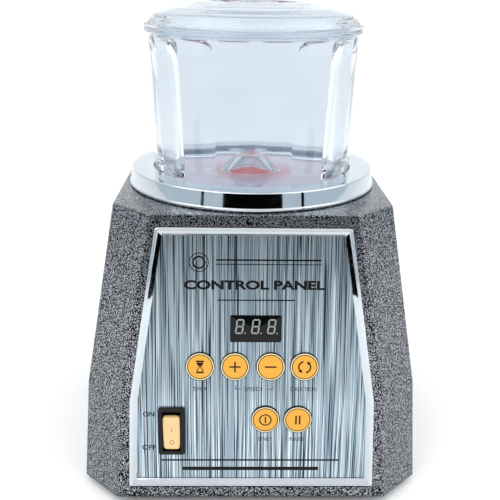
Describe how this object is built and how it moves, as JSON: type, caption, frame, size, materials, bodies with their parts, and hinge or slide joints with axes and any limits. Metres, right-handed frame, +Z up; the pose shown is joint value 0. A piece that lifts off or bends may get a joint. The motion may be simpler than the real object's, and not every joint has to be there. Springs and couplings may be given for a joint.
{
  "type": "magnetic tumbler",
  "caption": "Bench-top magnetic tumbler: tapered octagonal hammertone housing, chrome seat ring, clear faceted bowl with domed lid, sloped panel with display, keys and rocker.",
  "frame": {"origin": "on the surface the feet stand on, below the middle of the housing", "axes": "+Z up along the bowl's axis; the control panel faces -Y; +X is to the right seen from the front"},
  "size_m": [0.2024, 0.2028, 0.279],
  "materials": {
    "hammertone": "hammered silver-grey enamel with dark veins",
    "chrome": "bright plated",
    "clear_plastic": "clear, polished, faint blue cast",
    "panel_metal": "long vertical brushing, satin",
    "zinc_steel": "zinc plated",
    "orange_plastic": "satin with a paler rim",
    "cream_plastic": "satin",
    "black_plastic": "fine moulded grain",
    "display_tint": "dark tinted window",
    "board_green": "solder resist",
    "red_rubber": "soft sheet rubber",
    "black_rubber": "moulded, matt",
    "rotor_aluminium": "machined",
    "magnet_nickel": "nickel plated",
    "motor_steel": "drawn can, passivated"
  },
  "bodies": {
    "chassis": {"housing_shell": "hammertone", "base_plate": "zinc_steel", "foot_front_left": "black_rubber", "foot_front_right": "black_rubber", "foot_back_left": "black_rubber", "foot_back_right": "black_rubber", "foot_screw_front_left": "zinc_steel", "foot_screw_front_right": "zinc_steel", "foot_screw_back_left": "zinc_steel", "foot_screw_back_right": "zinc_steel", "case_screw_right_front": "zinc_steel", "case_screw_right_back": "zinc_steel", "case_screw_left_front": "zinc_steel", "case_screw_left_back": "zinc_steel", "chrome_ring": "chrome", "seat_plate": "rotor_aluminium", "seat_pad": "red_rubber", "front_panel": "panel_metal", "panel_frame": "chrome", "display_window": "display_tint", "display_module": "black_plastic", "control_board": "board_green", "board_spacer_top_left": "zinc_steel", "board_spacer_top_right": "zinc_steel", "board_spacer_middle_left": "zinc_steel", "board_spacer_bottom_right": "zinc_steel", "rocker_bezel": "black_plastic", "motor": "motor_steel", "motor_plate": "zinc_steel", "pillar_front_left": "zinc_steel", "pillar_front_right": "zinc_steel", "pillar_back_left": "zinc_steel", "pillar_back_right": "zinc_steel", "pillar_nut_front_left": "zinc_steel", "pillar_nut_front_right": "zinc_steel", "pillar_nut_back_left": "zinc_steel", "pillar_nut_back_right": "zinc_steel", "power_supply": "black_plastic", "motor_driver": "rotor_aluminium", "power_inlet": "black_plastic", "inlet_screw_left": "zinc_steel", "inlet_screw_right": "zinc_steel"},
    "bowl": {"bowl": "clear_plastic"},
    "lid": {"lid": "clear_plastic"},
    "rotor": {"rotor_shaft": "zinc_steel", "rotor_disc": "rotor_aluminium", "magnet_1": "magnet_nickel", "magnet_2": "magnet_nickel", "magnet_3": "magnet_nickel", "magnet_4": "magnet_nickel", "magnet_5": "magnet_nickel", "magnet_6": "magnet_nickel"},
    "rocker": {"rocker_key": "cream_plastic"},
    "key_timer": {"button_timer": "orange_plastic"},
    "key_increase": {"button_increase": "orange_plastic"},
    "key_decrease": {"button_decrease": "orange_plastic"},
    "key_direction": {"button_direction": "orange_plastic"},
    "key_start": {"button_start": "orange_plastic"},
    "key_pause": {"button_pause": "orange_plastic"}
  },
  "joints": [
    {"name": "bowl_lift", "type": "slide", "parent": "chassis", "child": "bowl", "axis": [0, 0, 1], "range_m": [0, 0.04]},
    {"name": "lid_lift", "type": "slide", "parent": "bowl", "child": "lid", "axis": [0, 0, 1], "range_m": [0, 0.03]},
    {"name": "rotor_spin", "type": "hinge", "parent": "chassis", "child": "rotor", "pos_m": [0, 0, 0.159], "axis": [0, 0, 1], "continuous": true},
    {"name": "power_rocker", "type": "hinge", "parent": "chassis", "child": "rocker", "pos_m": [-0.0457, -0.09248, 0.04643], "axis": [-1, 0, 0], "range_deg": [0, 17.8]},
    {"name": "press_timer", "type": "slide", "parent": "chassis", "child": "key_timer", "axis": [0, 0.9879, -0.1549], "range_m": [0, 0.0006], "stiffness_N_per_m": 400},
    {"name": "press_increase", "type": "slide", "parent": "chassis", "child": "key_increase", "axis": [0, 0.9879, -0.1549], "range_m": [0, 0.0006], "stiffness_N_per_m": 400},
    {"name": "press_decrease", "type": "slide", "parent": "chassis", "child": "key_decrease", "axis": [0, 0.9879, -0.1549], "range_m": [0, 0.0006], "stiffness_N_per_m": 400},
    {"name": "press_direction", "type": "slide", "parent": "chassis", "child": "key_direction", "axis": [0, 0.9879, -0.1549], "range_m": [0, 0.0006], "stiffness_N_per_m": 400},
    {"name": "press_start", "type": "slide", "parent": "chassis", "child": "key_start", "axis": [0, 0.9979, -0.0653], "range_m": [0, 0.0006], "stiffness_N_per_m": 400},
    {"name": "press_pause", "type": "slide", "parent": "chassis", "child": "key_pause", "axis": [0, 0.9979, -0.0653], "range_m": [0, 0.0006], "stiffness_N_per_m": 400}
  ]
}
